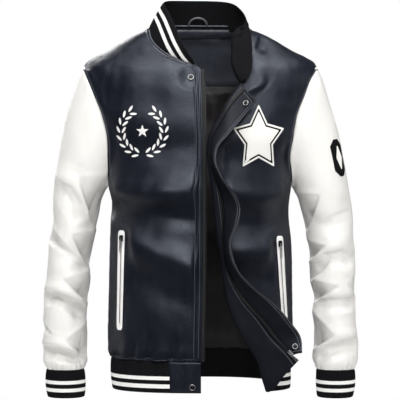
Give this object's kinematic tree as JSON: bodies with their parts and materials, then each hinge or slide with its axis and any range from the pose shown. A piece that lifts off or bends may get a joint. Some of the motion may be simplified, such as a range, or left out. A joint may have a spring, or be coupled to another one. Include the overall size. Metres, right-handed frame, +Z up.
{
  "type": "varsity jacket, worn shape, open front",
  "caption": "Varsity jacket in its worn shape: dark coated body, off-white sleeves, striped rib collar, cuffs and hem, open zip front with the left edge turned out.",
  "frame": {"origin": "between the shoulders at the neck base, where the wearer carries the jacket", "axes": "+X to the wearer's left, -Y out of the front, +Z up"},
  "size_m": [0.594, 0.2968, 0.7483],
  "materials": {
    "navy_cloth": "coated leather-look cloth, soft satin",
    "off_white_cloth": "coated leather-look cloth, soft satin",
    "rib_knit": "ribbed knit, matt",
    "lining": "smooth woven lining",
    "tape": "woven tape",
    "felt": "felt, matt",
    "badge": "felt, matt",
    "metal": "plated zinc, satin"
  },
  "bodies": {
    "jacket": {"back": "navy_cloth", "front_right": "navy_cloth", "front_left": "navy_cloth", "facing_left": "navy_cloth", "storm_flap": "navy_cloth", "hem_tab_right": "navy_cloth", "back_neck_facing": "navy_cloth", "sleeve_right": "off_white_cloth", "sleeve_left": "off_white_cloth", "pocket_welt_right": "off_white_cloth", "pocket_welt_left": "off_white_cloth", "collar": "rib_knit", "cuff_right": "rib_knit", "cuff_left": "rib_knit", "hem_rib": "rib_knit", "lining_back": "lining", "zip_tape_right": "tape", "zip_tape_left": "tape", "hanger_loop": "tape", "chest_patch": "felt", "sleeve_patch": "badge", "zip_slider": "metal", "pocket_slider_right": "metal", "pocket_slider_left": "metal", "pocket_zip_right": "metal", "pocket_zip_left": "metal", "snap_neck": "metal", "snap_hem": "metal", "snap_flap_neck": "metal", "snap_flap_hem": "metal"},
    "pocket_pull_right": {"pocket_pull_right": "metal"},
    "pocket_pull_left": {"pocket_pull_left": "metal"},
    "zip_pull": {"zip_pull": "metal"}
  },
  "joints": [
    {"name": "pocket_pull_right_swing", "type": "hinge", "parent": "jacket", "child": "pocket_pull_right", "pos_m": [-0.14934, -0.07134, -0.39], "axis": [-0.6585, 0.7526, 0], "range_deg": [0, 160]},
    {"name": "pocket_pull_left_swing", "type": "hinge", "parent": "jacket", "child": "pocket_pull_left", "pos_m": [0.14982, -0.07565, -0.4], "axis": [-0.6843, -0.7292, 0], "range_deg": [0, 160]},
    {"name": "zip_pull_swing", "type": "hinge", "parent": "jacket", "child": "zip_pull", "pos_m": [0.1642, -0.10784, -0.60167], "axis": [-0.5075, 0.6909, -0.515], "range_deg": [0, 160]}
  ]
}
